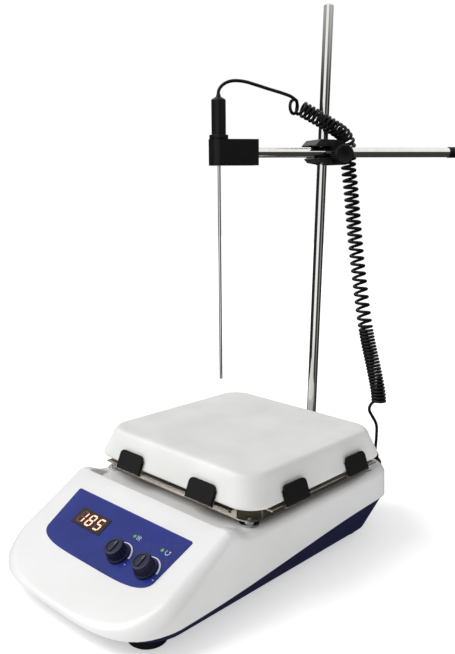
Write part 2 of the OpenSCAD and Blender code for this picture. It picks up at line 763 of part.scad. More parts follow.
// Rocker that turns about its own upright axle between two stable sides
module power_rocker() color("#232327") rear_frame(switch_x) translate([0, -3, -5]) rotate([0, 0, 9]) {
    union() {
        linear_extrude(10) polygon([[-7.4, 4.4], [0, 3.2], [7.4, 4.4], [6.4, 0], [0, -2.4], [-6.4, 0]]);
        translate([0, 0, -1.2]) cylinder(r = 1.2, h = 12.4);
    }
}

upper_housing();
lower_housing();
feet();
housing_screws();
control_label();
display_window();
display_module();
indicator_lenses();
control_board();
potentiometers();
heat_knob();
stir_knob();
power_board();
motor();
motor_bracket();
bracket_screws();
motor_shaft();
magnet_carrier();
drive_magnets();
carrier_screw();
standoffs();
standoff_washers();
tray_nuts();
plate_tray();
edge_pads();
insulation_pad();
heating_element();
plate_sensor();
hot_plate();
rod_socket();
support_rod();
boss_head();
arm_clamp_screw();
rod_clamp_screw();
cross_rod();
cross_rod_cap();
probe_holder();
holder_set_screw();
probe_sheath();
probe_collar();
probe_handle();
probe_strain_relief();
lead_arc();
lead_coil_upper();
lead_coil_middle();
lead_coil_lower();
lead_tail();
sensor_plug();
sensor_socket();
power_inlet();
power_switch();
power_rocker();
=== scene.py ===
"""Hot-plate magnetic stirrer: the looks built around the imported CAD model.

Shape numbers are in millimetres in the housing's own frame, and matrices place them in the shared frame.
"""

import json
from math import cos, pi, radians, sin, sqrt

import bmesh
import bpy
import numpy as np
from mathutils import Matrix, Vector


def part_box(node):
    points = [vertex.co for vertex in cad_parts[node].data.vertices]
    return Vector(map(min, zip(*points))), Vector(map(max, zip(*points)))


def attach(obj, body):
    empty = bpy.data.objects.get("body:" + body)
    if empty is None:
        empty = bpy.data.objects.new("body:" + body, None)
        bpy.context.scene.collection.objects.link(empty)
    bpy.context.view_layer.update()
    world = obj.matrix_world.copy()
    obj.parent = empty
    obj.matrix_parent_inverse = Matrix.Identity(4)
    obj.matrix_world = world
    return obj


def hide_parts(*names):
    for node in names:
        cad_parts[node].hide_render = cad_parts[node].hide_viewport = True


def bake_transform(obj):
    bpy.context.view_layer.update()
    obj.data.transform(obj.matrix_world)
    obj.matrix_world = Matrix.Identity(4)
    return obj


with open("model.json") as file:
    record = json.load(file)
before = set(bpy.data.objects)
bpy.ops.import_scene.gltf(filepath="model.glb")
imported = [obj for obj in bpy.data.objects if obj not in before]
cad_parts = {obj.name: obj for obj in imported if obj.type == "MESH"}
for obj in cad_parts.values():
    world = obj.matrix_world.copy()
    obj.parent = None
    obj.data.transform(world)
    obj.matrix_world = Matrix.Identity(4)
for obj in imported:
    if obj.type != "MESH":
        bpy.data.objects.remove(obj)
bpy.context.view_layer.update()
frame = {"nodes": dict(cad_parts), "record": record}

# ---------- frames: matrices from millimetres to the shared frame ----------

ROD_X, ROD_Y, ARM_Z = 1.0, 161.0, 380.5
ARM_AZIMUTH, ARM_OFFSET = 57.0, 17.0
HALF_W, HALF_D, WALL = 103.0, 180.0, 3.0
SHELF_Z, RIDGE_Z, RIDGE_Y, PANEL_SLOPE, PANEL_Y = 68.0, 76.0, -76.0, 29.4, -118.0
PLATE_W, PLATE_FLAT, PLATE_TOP, PLATE_Y, SKIRT_Z = 207.0, 184.0, 112.0, 47.0, 85.0

rod_low, rod_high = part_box("support_rod")
shift = (rod_low + rod_high) / 2 - Vector((ROD_X, ROD_Y, 0)) / 1000


def moved(x, y, z):
    return Matrix.Translation((x, y, z))


def turned(degrees, axis):
    return Matrix.Rotation(radians(degrees), 4, axis)


BODY = moved(shift.x, shift.y, 0) @ Matrix.Scale(0.001, 4)
PANEL_Z = RIDGE_Z + (PANEL_Y - RIDGE_Y) * np.tan(radians(PANEL_SLOPE))
PANEL = BODY @ moved(0, PANEL_Y, PANEL_Z) @ turned(PANEL_SLOPE, "X")
BOSS = BODY @ moved(ROD_X, ROD_Y, ARM_Z) @ turned(ARM_AZIMUTH, "Z")
LEAD = BOSS @ moved(0, -ARM_OFFSET, 0)

# ---------- camera ----------

CAMERA_EYE, CAMERA_AIM = (465.6, -483.0, 350.7), (-52.59, 79.75, 200.06)
CAMERA_ROLL, CAMERA_LENS, SENSOR_W = 1.14, 40.94, 36

eye, aim = BODY @ Vector(CAMERA_EYE), BODY @ Vector(CAMERA_AIM)
camera = bpy.data.objects.new("camera", bpy.data.cameras.new("camera"))
bpy.context.scene.collection.objects.link(camera)
camera.location = eye
camera.rotation_mode = "QUATERNION"
facing = (aim - eye).to_track_quat("-Z", "Y")
camera.rotation_quaternion = facing @ turned(CAMERA_ROLL, "Z").to_quaternion()
camera.data.lens = CAMERA_LENS
camera.data.sensor_width = SENSOR_W
camera.data.clip_start, camera.data.clip_end = 0.01, 20
bpy.context.scene.camera = camera

# ---------- materials ----------

# Each pair of numbers is the stretch of a noise or a mask that a change is spread over
MOTTLE, GRAIN, PATCHES, EDGES = (0.35, 0.65), (0.3, 0.7), (0.4, 0.6), (0.53, 0.62)
SPECK_SCALE, SPECK_COLOUR, SPECK_EDGE = 900, "8f8d88", (0.08, 0.16)
WEAR_SCALE, WEAR_LEAST = 220, 0.3
RELIEF_DEPTH, COAT_ROUGHNESS = 0.0002, 0.15
BLOTCH_SHARE, GRAIN_SHARE = 0.6, 0.4


def rgb(text):
    """Linear colour from a hexadecimal display colour."""
    values = [int(text[i : i + 2], 16) / 255 for i in (0, 2, 4)]
    return [v / 12.92 if v <= 0.04045 else ((v + 0.055) / 1.055) ** 2.4 for v in values] + [1.0]


def material(
    name, colour, other, rough=(0.3, 0.45), metallic=0.0, bump=0.1, grain=1500, blotch=25,
    stretch=(1, 1, 1), wear=0.25, worn=None, coat=0.0, specular=0.5, glow=None, speck=0.0,
):
    """Procedural surface: mottled colour, grain in the gloss and the relief, and lighter worn edges."""
    m = bpy.data.materials.new(name)
    m.use_nodes = True
    nodes, links = m.node_tree.nodes, m.node_tree.links
    shader = nodes["Principled BSDF"]
    place = nodes.new("ShaderNodeTexCoord")
    scaled = nodes.new("ShaderNodeMapping")
    scaled.inputs["Scale"].default_value = stretch
    links.new(place.outputs["Object"], scaled.inputs["Vector"])

    def noise(scale, detail, source=scaled):
        n = nodes.new("ShaderNodeTexNoise")
        n.inputs["Scale"].default_value = scale
        n.inputs["Detail"].default_value = detail
        links.new(source.outputs["Object" if source is place else "Vector"], n.inputs["Vector"])
        return n.outputs["Fac"]

    def spread(value, low, high, to_low, to_high):
        n = nodes.new("ShaderNodeMapRange")
        ends = {"From Min": low, "From Max": high, "To Min": to_low, "To Max": to_high}
        for socket, number in ends.items():
            n.inputs[socket].default_value = number
        links.new(value, n.inputs["Value"])
        return n.outputs["Result"]

    def mix(factor, a, b):
        n = nodes.new("ShaderNodeMix")
        n.data_type = "RGBA"
        links.new(factor, n.inputs["Factor"])
        for socket, value in ((n.inputs["A"], a), (n.inputs["B"], b)):
            if isinstance(value, list):
                socket.default_value = value
            else:
                links.new(value, socket)
        return n.outputs["Result"]

    tint = mix(spread(noise(blotch, 5), *MOTTLE, 0, 1), rgb(colour), rgb(other))
    if speck:
        dots = nodes.new("ShaderNodeTexVoronoi")
        dots.inputs["Scale"].default_value = SPECK_SCALE
        links.new(place.outputs["Object"], dots.inputs["Vector"])
        tint = mix(spread(dots.outputs["Distance"], *SPECK_EDGE, speck, 0), tint, rgb(SPECK_COLOUR))
    if wear:
        edge = nodes.new("ShaderNodeNewGeometry")
        worn_mask = nodes.new("ShaderNodeMath")
        worn_mask.operation = "MULTIPLY"
        links.new(spread(edge.outputs["Pointiness"], *EDGES, 0, wear), worn_mask.inputs[0])
        links.new(spread(noise(WEAR_SCALE, 4, place), *PATCHES, WEAR_LEAST, 1), worn_mask.inputs[1])
        tint = mix(worn_mask.outputs["Value"], tint, rgb(worn or other))
    links.new(tint, shader.inputs["Base Color"])
    gloss = nodes.new("ShaderNodeMath")
    gloss.operation = "MULTIPLY_ADD"
    links.new(noise(blotch * 3, 6), gloss.inputs[0])
    gloss.inputs[1].default_value = (rough[1] - rough[0]) * BLOTCH_SHARE
    grain_high = rough[0] + (rough[1] - rough[0]) * GRAIN_SHARE
    links.new(spread(noise(grain, 2), *GRAIN, rough[0], grain_high), gloss.inputs[2])
    links.new(gloss.outputs["Value"], shader.inputs["Roughness"])
    if bump:
        relief = nodes.new("ShaderNodeBump")
        relief.inputs["Strength"].default_value = bump
        relief.inputs["Distance"].default_value = RELIEF_DEPTH
        links.new(noise(grain, 5), relief.inputs["Height"])
        links.new(relief.outputs["Normal"], shader.inputs["Normal"])
    shader.inputs["Metallic"].default_value = metallic
    shader.inputs["Coat Weight"].default_value = coat
    shader.inputs["Coat Roughness"].default_value = COAT_ROUGHNESS
    shader.inputs["Specular IOR Level"].default_value = specular
    if glow:
        shader.inputs["Emission Color"].default_value = rgb(glow[0])
        shader.inputs["Emission Strength"].default_value = glow[1]
    return m


MATERIALS = {}


def add_slot(name, *looks, **more):
    MATERIALS[name] = material(name, *looks, **more)


add_slot("housing_white", "f2f2f2", "ecebea", (0.3, 0.42), bump=0.05, blotch=14, wear=0.1, coat=0.2)
add_slot("housing_navy", "191e4a", "151940", (0.32, 0.5), bump=0.12, wear=0.2, worn="3a4070", specular=0.3)
add_slot(
    "rubber_black", "0d0d0e", "131314", (0.55, 0.8), bump=0.3, grain=2600, wear=0.35, worn="303032",
    specular=0.2,
)
add_slot("screw_steel", "b9bbbd", "a4a6a8", (0.2, 0.38), 1, 0.12, 2200, 60, wear=0.4, worn="e6e6e6")
add_slot(
    "label_blue", "223084", "1d2a78", (0.38, 0.54), bump=0.1, grain=2400, wear=0.1, worn="7782b8",
    specular=0.16,
)
add_slot("display_red", "200404", "180303", (0.07, 0.14), bump=0.01, wear=0, specular=0.3, coat=0.15)
add_slot(
    "part_black", "0f0f11", "151518", (0.34, 0.55), bump=0.2, grain=2000, wear=0.3, worn="38383c",
    specular=0.2,
)
add_slot("lens_green", "3f8f35", "53a944", (0.1, 0.2), bump=0.02, wear=0, coat=0.4, glow=("5fe04a", 0.12))
add_slot("board_green", "17563a", "1d6b45", (0.3, 0.5), bump=0.15, wear=0.2, worn="b79a4b", blotch=120)
add_slot("motor_metal", "a3a5a8", "8d8f93", (0.28, 0.46), 1, 0.12, 1600, 50, wear=0.4, worn="dadada")
add_slot(
    "bracket_steel", "b4b6b8", "9c9ea1", (0.25, 0.42), 1, 0.14, 900, 40, (1, 12, 1), wear=0.4,
    worn="e6e6e6",
)
add_slot("magnet_dark", "54565b", "45474b", (0.25, 0.4), 0.9, 0.15, 1500, 60, wear=0.5, worn="9d9fa4")
add_slot(
    "knob_navy", "141833", "10132b", (0.36, 0.55), bump=0.2, grain=2200, wear=0.35, worn="343a60",
    specular=0.25,
)
add_slot(
    "tray_steel", "c8bfb4", "b0a79d", (0.16, 0.32), 1, 0.1, 700, 30, (1, 1, 9), wear=0.5,
    worn="f2ece4",
)
add_slot(
    "insulation", "d8d0bd", "c4bba6", (0.85, 1.0), bump=0.8, grain=900, blotch=90, wear=0.2,
    worn="ece6d8",
)
add_slot("element_steel", "55565a", "3f4043", (0.4, 0.65), 0.8, 0.3, 1200, 50, wear=0.4, worn="8b8c90")
add_slot(
    "plate_white", "f3f3f1", "e9e9e6", (0.42, 0.62), bump=0.12, grain=1300, blotch=18, wear=0.15,
    speck=0.12,
)
add_slot("rod_steel", "efeeeb", "e6e5e1", (0.05, 0.11), 1, 0.006, 1800, 25, (6, 6, 0.35), wear=0)
add_slot(
    "clamp_grey", "0b0c0d", "111213", (0.34, 0.52), 0.2, 0.3, 1500, 40, wear=0.6, worn="5c5f63",
    specular=0.25,
)
add_slot(
    "clamp_black", "070708", "0b0b0c", (0.36, 0.55), bump=0.2, grain=2400, wear=0.4, worn="2c2c30",
    specular=0.2,
)
add_slot(
    "probe_black", "080809", "0e0e10", (0.3, 0.46), bump=0.12, grain=2400, wear=0.3, worn="2a2a2e",
    specular=0.25,
)
add_slot(
    "lead_black", "060607", "0a0a0b", (0.34, 0.5), bump=0.15, grain=2600, blotch=60, wear=0.1,
    worn="1c1c1e", specular=0.22,
)
POINTER = material("pointer_print", "6d738c", "62677f", (0.4, 0.6), bump=0.1, grain=2600, wear=0)
PRINT_WHITE = material("print_white", "eef0f4", "dfe2ea", (0.4, 0.6), bump=0.1, grain=2600, wear=0)
DIGIT_LIT = material("digit_lit", "ff9a78", "ffa98a", (0.2, 0.3), bump=0.01, wear=0, glow=("ffc0a4", 1.25))
DIGIT_DARK = material("digit_dark", "6e1a12", "5e140d", (0.2, 0.3), bump=0.01, wear=0)

slot_of = {part["node"]: part["material_slot"] for part in frame["record"]["subparts"]}
for node_name, cad in frame["nodes"].items():
    cad.data.materials.clear()
    cad.data.materials.append(MATERIALS[slot_of[node_name]])

# ---------- mesh helpers ----------


def mesh_object(name, points, faces, matrix, sharp=32.0, looks=None):
    """A mesh from points in a frame's millimetres, smooth except at edges sharper than the angle."""
    mesh = bpy.data.meshes.new(name)
    m = np.array(matrix)
    placed = np.asarray(points, float) @ m[:3, :3].T + m[:3, 3]
    mesh.from_pydata(placed.tolist(), [], [list(map(int, f)) for f in faces])
    mesh.validate()
    obj = bpy.data.objects.new(name, mesh)
    bpy.context.scene.collection.objects.link(obj)
    face_outwards(mesh)
    mesh.shade_smooth()
    mesh.set_sharp_from_angle(angle=radians(sharp))
    if looks:
        mesh.materials.append(looks)
    return obj


def face_outwards(mesh):
    b = bmesh.new()
    b.from_mesh(mesh)
    bmesh.ops.recalc_face_normals(b, faces=b.faces)
    b.to_mesh(mesh)
    b.free()


def skin(rings):
    """Points and faces of a capped tube over rings of equal length."""
    n, points, faces = len(rings[0]), np.concatenate(rings), []
    for j in range(len(rings) - 1):
        for i in range(n):
            a, b = j * n + i, j * n + (i + 1) % n
            faces.append((a, b, b + n, a + n))
    faces.append(tuple(range(n))[::-1])
    faces.append(tuple(range((len(rings) - 1) * n, len(rings) * n)))
    return points, faces


def lathe(profile, segments=64, flutes=0, depth=0.0, fluted=(0.0, 0.0)):
    """A turned shape from (radius, height) pairs, with grooves along it between two heights."""
    angles = np.linspace(0, 2 * pi, segments, endpoint=False)
    rings = []
    for r, z in profile:
        radii = np.full(segments, float(r))
        if flutes and fluted[0] <= z <= fluted[1]:
            radii -= depth * (0.5 - 0.5 * np.cos(flutes * angles)) ** 0.6
        flat = [radii * np.cos(angles), radii * np.sin(angles)]
        rings.append(np.stack([*flat, np.full(segments, float(z))], 1))
    return skin(rings)


def slab(outline, low, high, bevel=0.0):
    """A flat plate over an outline, with a small chamfer round its upper edge."""
    flat = np.asarray(outline, float)
    centre = flat.mean(0)
    inward = centre - flat
    inward /= np.maximum(np.linalg.norm(inward, axis=1)[:, None], 1e-9)
    rings = [np.column_stack([flat, np.full(len(flat), z)]) for z in (low, high - bevel)]
    if bevel:
        rings.append(np.column_stack([flat + inward * bevel, np.full(len(flat), high)]))
    return skin(rings)


def merge(*parts):
    """Several (points, faces) as one."""
    points, faces, start = [], [], 0
    for p, f in parts:
        points.append(np.asarray(p, float))
        faces += [tuple(i + start for i in face) for face in f]
        start += len(p)
    return np.concatenate(points), faces


def shifted(part, x=0.0, y=0.0, z=0.0):
    return np.asarray(part[0], float) + [x, y, z], part[1]


def rounded_square(half, radius, z, steps=10):
    """Ring of a square with rounded corners, at a height."""
    corner = np.linspace(0, pi / 2, steps)
    ring = []
    for q, (sx, sy) in enumerate(((1, 1), (-1, 1), (-1, -1), (1, -1))):
        a = corner + q * pi / 2
        x, y = sx * (half - radius) + radius * np.cos(a), sy * (half - radius) + radius * np.sin(a)
        ring.append(np.column_stack([x, y]))
    flat = np.concatenate(ring)
    return np.column_stack([flat, np.full(len(flat), z)])


def box_part(x0, x1, y0, y1, z0, z1):
    points = [(x, y, z) for z in (z0, z1) for x, y in ((x0, y0), (x1, y0), (x1, y1), (x0, y1))]
    faces = [(3, 2, 1, 0), (4, 5, 6, 7), (0, 1, 5, 4), (1, 2, 6, 5), (2, 3, 7, 6), (3, 0, 4, 7)]
    return np.array(points, float), faces


def piece(name, part, matrix, body, slot, nodes=(), sharp=32.0, looks=None):
    """A finished piece: its mesh, with the slot's material unless a look is given, attached to its body, and
    the CAD nodes that it stands for hidden.
    """
    obj = mesh_object(name, *part, matrix, sharp, looks or MATERIALS[slot])
    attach(obj, body)
    if nodes:
        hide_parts(*nodes)
    return obj


def carve(obj, cutters, sharp=32.0):
    """Cuts (part, matrix) shapes out of an object's mesh."""
    for part, matrix in cutters:
        tool = mesh_object("cutter", *part, matrix)
        cut = obj.modifiers.new("cut", "BOOLEAN")
        cut.operation, cut.solver, cut.object = "DIFFERENCE", "EXACT", tool
        evaluated = obj.evaluated_get(bpy.context.evaluated_depsgraph_get())
        done = bpy.data.meshes.new_from_object(evaluated)
        obj.modifiers.clear()
        old, obj.data = obj.data, done
        bpy.data.meshes.remove(old)
        tool_mesh = tool.data
        bpy.data.objects.remove(tool)
        bpy.data.meshes.remove(tool_mesh)
    obj.data.shade_smooth()
    obj.data.set_sharp_from_angle(angle=radians(sharp))


WELD_REACH, BEVEL_SEGMENTS, BEVEL_ANGLE = 0.00001, 2, 35


def soften(node, width):
    """Rounds a carried-over CAD node's edges with modifiers, by a width in millimetres."""
    obj = frame["nodes"][node]
    custom = obj.data.attributes.get("custom_normal")
    if custom:
        obj.data.attributes.remove(custom)
    obj.data.shade_smooth()
    weld = obj.modifiers.new("weld", "WELD")
    weld.merge_threshold = WELD_REACH
    bevel = obj.modifiers.new("bevel", "BEVEL")
    bevel.width, bevel.segments, bevel.limit_method = width / 1000, BEVEL_SEGMENTS, "ANGLE"
    bevel.angle_limit = radians(BEVEL_ANGLE)
    bevel.use_clamp_overlap = True
    normals = obj.modifiers.new("normals", "WEIGHTED_NORMAL")
    normals.keep_sharp = False


def smooth(t):
    """Eases from 0 to 1 as t does."""
    c = np.clip(t, 0, 1)
    return c * c * (3 - 2 * c)


# ---------- the probe's lead: four lengths of one curly cord ----------

CABLE_R, COIL_R, CABLE_SIDES = 1.6, 6.4, 10
AXIS_DETAIL, CENTRE_DETAIL = 16, 6  # curve points to each stretch of a route
AXIS_STEP, PATH_STEP = 0.05, 1.7
TURN_STEP = 24  # degrees round the coil between points
POINTS_PER_TURN = 360 // TURN_STEP

ARC = [
    (-115.5, 0, 51.45), (-115.3, 0, 54.5), (-113, 0, 58.5), (-108, 0, 62.3), (-101, 0, 64.4),
    (-90, 0, 64.2), (-78, 0, 61.6), (-66, -1.8, 58.3), (-54, -5, 54.9), (-45, -6.8, 51.9),
]
# Loose first ring of the coil, turned part of the way towards the front
RING_POINTS, RING_START, RING_STEP = 12, 75, 30
RING_CENTRE, RING_DRIFT, RING_REACH = (-41.2, -7.5, 42.6), (2, 7.1, 0), (5.2, 4.1, 6.7)
RING_EASE = 0.1  # share of the drift moved to the ring's top, which keeps its bottom round
RING = []
for turn in range(RING_POINTS):
    a = radians(RING_START - RING_STEP * turn)
    way = turn / (RING_POINTS - 1)
    share = way + RING_EASE * sin(2 * pi * way)
    sides = zip(RING_CENTRE, RING_DRIFT, RING_REACH, (cos(a), cos(a), sin(a)))
    RING.append(tuple(middle + drift * share + reach * part for middle, drift, reach, part in sides))
RING += [(-38.2, -0.2, 49.7), (-36.1, 1.4, 49.4), (-34.6, 3.3, 47.9), (-33.7, 4.9, 45.3)]
UPPER = [
    (-33.2, -0.8, 42.4), (-22, 0, 37.4), (-12, 0, 32.8), (-2.5, 0, 28), (6.6, 0.8, 23.6),
    (12.8, 2.8, 20.7), (17.6, 5.4, 17.9), (22.5, 8.2, 13.3), (26.2, 12, 7.2), (27.6, 13.9, 2.2),
]
HANGING = [
    (18.7, 182.8, 377.5), (19.3, 183.1, 365), (21.9, 184, 349), (25.4, 184.8, 324), (31, 186.5, 284),
    (38.6, 188, 240), (45, 189, 207), (51.1, 190, 182), (58.6, 190.8, 157), (65.2, 191.6, 132),
    (67, 192, 118.5),
]
TAIL = [(65, 192, 96), (66, 192.2, 85), (65.8, 192.3, 74), (65.5, 192.3, 66)]
MAST_CUT = HANGING[5]
DENSE_FROM = (46.2, 189.2, 202)
# The cable's bend out of the coil: how far along its last direction, and how far down
EXIT_BEND = ((3.0, 0.8), (5.6, 3.2), (6.4, 7.4))
DOWN = np.array([0.02, 0, -1.0])


def spline(route, per):
    """Points of a centripetal curve through the route."""
    p = np.array(route, float)
    p = np.vstack([2 * p[0] - p[1], p, 2 * p[-1] - p[-2]])
    out = []
    for a, b, c, d in zip(p, p[1:], p[2:], p[3:]):
        k = np.cumsum([0] + [sqrt(np.linalg.norm(v)) for v in (b - a, c - b, d - c)])
        for t in np.linspace(k[1], k[2], per, endpoint=False):
            a1 = (k[1] - t) / k[1] * a + t / k[1] * b
            a2 = (k[2] - t) / (k[2] - k[1]) * b + (t - k[1]) / (k[2] - k[1]) * c
            a3 = (k[3] - t) / (k[3] - k[2]) * c + (t - k[2]) / (k[3] - k[2]) * d
            b1 = (k[2] - t) / k[2] * a1 + t / k[2] * a2
            b2 = (k[3] - t) / (k[3] - k[1]) * a2 + (t - k[1]) / (k[3] - k[1]) * a3
            out.append((k[2] - t) / (k[2] - k[1]) * b1 + (t - k[1]) / (k[2] - k[1]) * b2)
    return np.array(out + [p[-2]])


def lengths(line):
    """Distance along a line at each of its points."""
    return np.concatenate([[0], np.cumsum(np.linalg.norm(np.diff(line, axis=0), axis=1))])


def along(at, where, line):
    """Points of a line at distances along it, with its own points' distances given."""
    return np.stack([np.interp(at, where, line[:, k]) for k in range(3)], 1)


def carried_sides(tangents, first):
    """A side vector for each tangent, turning as little as it can."""
    side = np.array(first, float)
    sides = []
    for t in tangents:
        side = side - (side @ t) * t
        side = side / np.linalg.norm(side)
        sides.append(side)
    return np.array(sides)


def directions(line):
    d = np.gradient(line, axis=0)
    return d / np.linalg.norm(d, axis=1)[:, None]


def to_body(points):
    """Points of the lead's frame in the housing's."""
    m = np.array(BODY.inverted() @ LEAD)
    return np.array(points, float) @ m[:3, :3].T + m[:3, 3]


axis = spline(np.vstack([to_body(UPPER), HANGING]), AXIS_DETAIL)
axis_lengths = lengths(axis)
axis_at = np.arange(0, axis_lengths[-1], AXIS_STEP)
axis_line = along(axis_at, axis_lengths, axis)


def nearest_on_axis(point):
    return axis_at[np.argmin(np.linalg.norm(axis_line - np.array(point), axis=1))]


boss_end, mast_end, dense = (nearest_on_axis(q) for q in (HANGING[0], MAST_CUT, DENSE_FROM))
# Spacing of the turns: close over the boss head, opening as it hangs, shut at the bottom
spacing = (
    (0, 6.5), (6, 4.7), (boss_end - 25, 4.9), (boss_end - 7, 6.3), (boss_end + 50, 6.8),
    (boss_end + 100, 7.9), (dense - 12, 8.7), (dense - 3, 7.5), (dense + 6, 3.5), (axis_lengths[-1], 3.45),
)
pitch = np.interp(axis_at, *zip(*spacing))
angle = pi / 2 + np.cumsum(2 * pi / pitch) * AXIS_STEP
heading = directions(axis_line)
side_u = carried_sides(heading, (0, 0, 1))
side_v = np.cross(side_u, heading)
turn_at = np.arange(angle[0], angle[-1] - 0.01, radians(TURN_STEP))
helix_at = np.interp(turn_at, angle, axis_at)
middle, up, across = (along(helix_at, axis_at, v) for v in (axis_line, side_u, side_v))
helix = middle + COIL_R * (np.cos(turn_at)[:, None] * up + np.sin(turn_at)[:, None] * across)
# The last turn ends on the side that the tail hangs from, and leaves it downwards
last_point = len(helix) - 1 - np.argmin(helix[::-1][:POINTS_PER_TURN, 0])
helix = helix[: last_point + 1]
leave = helix[-1] - helix[-2]
leave /= np.linalg.norm(leave)
exit_bend = [helix[-1] + forward * leave + fall * DOWN for forward, fall in EXIT_BEND]
centre = spline(np.vstack([to_body(ARC + RING), helix, exit_bend, TAIL]), CENTRE_DETAIL)
centre_at = lengths(centre)
helix_from = len(ARC) + len(RING)
cut_points = [len(ARC) - 1] + [helix_from + int(np.searchsorted(helix_at, v)) for v in (boss_end, mast_end)]
cut_at = [0.0, *(centre_at[CENTRE_DETAIL * k] for k in cut_points), centre_at[-1]]

LEAD_PARTS = (
    ("lead_cable_arc", "probe", "arm", ["lead_arc"], 0.08, "loose"),
    ("lead_coil_a", "arm", "boss", ["lead_coil_upper"], 0.725, "hanging"),
    ("lead_coil_b", "boss", "mast", ["lead_coil_middle"], 0.785, "hanging"),
    ("lead_coil_c", "mast", "base", ["lead_coil_lower", "lead_tail"], 1.21, "hanging"),
)
LAST_PART = len(LEAD_PARTS) - 1
END_REACH = 0.3  # how far past its ends a middle length looks for its direction
around = np.linspace(0, 2 * pi, CABLE_SIDES, endpoint=False)
for k, (name, body_a, body_b, nodes, length, lay) in enumerate(LEAD_PARTS):
    low, high = cut_at[k], cut_at[k + 1]
    path_at = np.linspace(low, high, int((high - low) / PATH_STEP) + 1)
    route = along(path_at, centre_at, centre)
    toward = directions(route)
    if 0 < k < LAST_PART:
        wider = np.linspace(low - END_REACH, high + END_REACH, len(path_at))
        toward = directions(along(wider, centre_at, centre))
    u = carried_sides(toward, np.cross(toward[0], (0, 0.7, 0.7)))
    v = np.cross(toward, u)
    rings = [
        q + CABLE_R * (np.cos(around)[:, None] * uu + np.sin(around)[:, None] * vv)
        for q, uu, vv in zip(route, u, v)
    ]
    cable = mesh_object(name, *skin(rings), BODY, 40, MATERIALS["lead_black"])
    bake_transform(cable)
    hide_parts(*nodes)

# ---------- housing ----------


NOSE, TAIL_LEN, NOSE_POWER, TAIL_POWER = 46.0, 34.0, 0.30, 0.25
MIN_SLOPE = 0.012  # least gradient of the outline's curve, near its middle
RIM_RUN, POCKET_HALF_W, POCKET_WALL = 26, 86, 3
EDGE_R, NOSE_EDGE_R, NOSE_RUN, WALL_RISE = 8, 5, 50, 20
CREASE_DEPTH, CREASE_W = 0.56, 2.6  # shallow crease along the top of the panel


def seam_z(y):
    """Height of the joint between the shells, rising from the nose to the rear."""
    return 15 + 5 * smooth((y + HALF_D) / 40) + 18 * smooth((y + 140) / 300)


def outline_x(y):
    nose = HALF_W * np.maximum(1 - (1 - (y + HALF_D) / NOSE) ** 2, 0) ** NOSE_POWER
    tail = HALF_W * np.maximum(1 - (1 - (HALF_D - y) / TAIL_LEN) ** 2, 0) ** TAIL_POWER
    return np.where(y < NOSE - HALF_D, nose, np.where(y > HALF_D - TAIL_LEN, tail, HALF_W))


def edge_distance(x, y):
    """Distance inwards from the outline, even round its corners."""
    front = np.clip(1 - (y + HALF_D) / NOSE, 0, 1)
    rear = np.clip(1 - (HALF_D - y) / TAIL_LEN, 0, 1)
    power = np.where(y < 0, 1 / NOSE_POWER, 1 / TAIL_POWER)
    length = np.where(y < 0, NOSE, TAIL_LEN)
    t = np.where(y < 0, front, rear)
    across = np.clip(np.abs(x) / HALF_W, 0, 1)
    value = across**power + t * t
    slope = np.hypot(power * across ** (power - 1) / HALF_W, 2 * t / length)
    round_d = (1 - value) / np.maximum(slope, MIN_SLOPE)
    share = smooth(t / 0.25)
    return np.maximum((HALF_W - np.abs(x)) * (1 - share) + round_d * share, 0)


def edge_drop(d, r):
    """Height lost at a distance inwards from a rounded edge of radius r."""
    return np.where(d >= r, 0, r * (1 - np.sqrt(np.maximum(1 - (1 - np.clip(d, 0, r) / r) ** 2, 0))))


def shell_z(x, y):
    """Height of the upper shell: sloped panel, ridge, and the pocket round the plate."""
    panel = RIDGE_Z + (y - RIDGE_Y) * np.tan(radians(PANEL_SLOPE))
    rim = SHELF_Z + (RIDGE_Z - SHELF_Z) * (1 - smooth((y - RIDGE_Y) / RIM_RUN))
    inside = np.minimum(POCKET_HALF_W - np.abs(x), y - RIDGE_Y - 1)
    pocket = rim - (rim - SHELF_Z) * smooth(inside / POCKET_WALL)
    top = np.where(y < RIDGE_Y, panel, pocket)
    height = np.maximum(top - seam_z(y), 0.5)
    r = np.minimum(EDGE_R + NOSE_EDGE_R * smooth((RIDGE_Y - y) / NOSE_RUN), 0.85 * height)
    d = edge_distance(x, y)
    crease = CREASE_DEPTH * np.exp(-(((y - RIDGE_Y) / CREASE_W) ** 2)) * smooth((96 - np.abs(x)) / 20)
    drop = edge_drop(d - (height - r) / WALL_RISE, r)
    return seam_z(y) + np.minimum(WALL_RISE * d, height - crease - drop)


nose_angles = [3, 7, 11, 15, 19, 23, 27, 31, 35, 40, 45, 50, 56, 62, 69, 76, 83]
tail_angles = [84, 76, 68, 60, 53, 46, 40, 35, 30, 26, 22, 19, 16, 13, 10, 8, 6, 4, 2]
stations = np.array(
    [NOSE * (1 - cos(radians(a))) - HALF_D for a in nose_angles]
    + [-134, -128, -120, -112, -104, -97, -91, -86, -82.5, -80, -78, -77]
    + [-76, -75.3, -74.6, -74, -73.4, -72.8, -72.2, -71.5, -70.5]
    + list(np.arange(-69, -33, 1.5)) + list(np.arange(-32, 146, 9.0))
    + [HALF_D - TAIL_LEN * (1 - cos(radians(a))) for a in tail_angles]
)
edge_steps = np.array([
    0, 0.2, 0.45, 0.7, 0.95, 1.2, 1.45, 1.7, 1.95, 2.2, 2.5, 2.9, 3.4, 4, 4.8, 5.7, 6.8, 8, 9.3, 10.6, 12,
    13.5, 15, 16.4, 17, 17.6, 18.2, 18.8, 19.4, 20.2, 21.5, 25, 31, 39, 50, 64, 82,
])
half_columns = 1 - edge_steps / HALF_W
columns = np.concatenate([-half_columns, [0], half_columns[::-1]])


